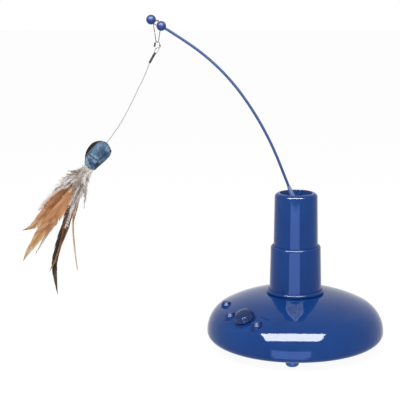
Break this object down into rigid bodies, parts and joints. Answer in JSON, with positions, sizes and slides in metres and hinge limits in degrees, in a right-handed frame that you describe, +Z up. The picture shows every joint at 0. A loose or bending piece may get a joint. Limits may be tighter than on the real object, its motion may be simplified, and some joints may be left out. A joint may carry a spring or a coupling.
{
  "type": "electronic cat toy",
  "caption": "Battery cat toy: a domed round base with a speed knob and push buttons, a stepped tower, and a motor-turned springy wand that swings a stuffed fabric lure with feathers.",
  "frame": {"origin": "on the tower's axis, on the surface that the feet stand on", "axes": "+Z up along the tower; -Y towards the picture's camera; the wand leans to -X"},
  "size_m": [0.4527, 0.2124, 0.393],
  "materials": {
    "blue_shell": "gloss blue moulded plastic",
    "blue_rubber": "soft blue rubber",
    "blue_rod": "springy blue plastic rod",
    "pale_plastic": "pale translucent plastic",
    "inner_plastic": "unpainted moulded plastic",
    "gear_plastic": "natural slippery gear plastic",
    "board": "green circuit board",
    "switch_black": "black switch housing",
    "steel": "plain steel",
    "nickel": "nickel-plated wire",
    "bush_brass": "turned brass",
    "cell_jacket": "dark cell jacket",
    "line_clear": "clear nylon line",
    "crimp_black": "black ribbed sleeve",
    "denim": "washed steel-blue denim",
    "navy_cloth": "near-black cloth",
    "feather_rust": "rust-orange feather",
    "feather_brown": "brown feather with an orange edge",
    "feather_dark": "brown-black feather",
    "feather_light": "beige down and pale feather"
  },
  "bodies": {
    "base": {"base_dome": "blue_shell", "base_plate": "blue_shell", "feet": "blue_rubber", "case_screws": "steel", "battery_1": "cell_jacket", "battery_2": "cell_jacket", "battery_3": "cell_jacket", "battery_contacts": "nickel", "tower_sleeve": "blue_shell", "tower_head": "blue_shell", "tower_screws": "steel", "gearbox_lower_plate": "inner_plastic", "gearbox_upper_plate": "inner_plastic", "gearbox_screws": "steel", "motor_can": "steel", "motor_end_cap": "switch_black", "motor_screws": "steel", "idler_axle": "steel", "shaft_bush": "bush_brass", "speed_control": "steel", "control_nut": "steel", "control_board": "board", "board_screws": "steel", "side_board": "board", "switch_left": "switch_black", "switch_right": "switch_black", "switch_side": "switch_black"},
    "wand": {"output_gear": "gear_plastic", "output_shaft": "steel", "wand_hub": "blue_shell", "wand_ferrule": "pale_plastic", "wand_rod": "blue_rod", "ball_inner": "blue_shell", "ball_end": "blue_shell", "tip_link": "nickel"},
    "idler": {"idler_gear": "gear_plastic"},
    "rotor": {"motor_shaft": "steel", "motor_pinion": "bush_brass"},
    "knob": {"speed_knob": "blue_shell", "control_shaft": "steel"},
    "left_button": {"button_left": "blue_shell"},
    "right_button": {"button_right": "blue_shell"},
    "side_button": {"button_side": "blue_shell"},
    "door": {"battery_door": "blue_shell"},
    "snap": {"snap_clip": "nickel"},
    "ring": {"clip_ring": "nickel", "ring_collar_long": "switch_black", "ring_collar_short": "switch_black"},
    "leader": {"line_loop": "nickel", "crimp_sleeve": "crimp_black", "toy_line": "line_clear", "toy_body": "denim", "toy_back": "navy_cloth", "feather_rust_upper": "feather_rust", "feather_rust_lower": "feather_rust", "feather_pale": "feather_light", "feather_brown": "feather_brown", "feather_black": "feather_dark", "feather_orange": "feather_rust", "down_tuft": "feather_light"}
  },
  "joints": [
    {"name": "wand_spin", "type": "hinge", "parent": "base", "child": "wand", "pos_m": [0, 0, 0.17], "axis": [0, 0, 1], "continuous": true},
    {"name": "idler_spin", "type": "hinge", "parent": "base", "child": "idler", "pos_m": [0.0126, 0, 0.09], "axis": [0, 0, 1], "continuous": true},
    {"name": "rotor_spin", "type": "hinge", "parent": "base", "child": "rotor", "pos_m": [0, 0, 0.09], "axis": [0, 0, 1], "continuous": true},
    {"name": "knob_turn", "type": "hinge", "parent": "base", "child": "knob", "pos_m": [-0.05787, -0.06427, 0.05008], "axis": [-0.3017, -0.335, 0.8926], "range_deg": [0, 270]},
    {"name": "left_button_press", "type": "slide", "parent": "base", "child": "left_button", "axis": [0, 0, -1], "range_m": [0, 0.001], "stiffness_N_per_m": 300},
    {"name": "right_button_press", "type": "slide", "parent": "base", "child": "right_button", "axis": [0, 0, -1], "range_m": [0, 0.001], "stiffness_N_per_m": 300},
    {"name": "side_button_press", "type": "slide", "parent": "base", "child": "side_button", "axis": [0, 0, -1], "range_m": [0, 0.001], "stiffness_N_per_m": 300},
    {"name": "battery_door_slide", "type": "slide", "parent": "base", "child": "door", "axis": [0, 1, 0], "range_m": [0, 0.018]},
    {"name": "snap_swing", "type": "hinge", "parent": "wand", "child": "snap", "pos_m": [-0.16071, 0.02834, 0.37995], "axis": [-0.8504, 0.1499, 0.5044], "range_deg": [-120, 120]},
    {"name": "ring_swing", "type": "hinge", "parent": "snap", "child": "ring", "pos_m": [-0.16573, 0.02922, 0.36215], "axis": [-0.9848, 0.1736, 0], "range_deg": [-60, 60]},
    {"name": "leader_swing", "type": "hinge", "parent": "ring", "child": "leader", "pos_m": [-0.16583, 0.02924, 0.35375], "axis": [0.1736, 0.9848, 0], "range_deg": [-28, 34]}
  ],
  "couplings": [
    {"joint": "idler_spin", "follows": "wand_spin", "ratio": -2.5},
    {"joint": "rotor_spin", "follows": "wand_spin", "ratio": 6.25}
  ]
}
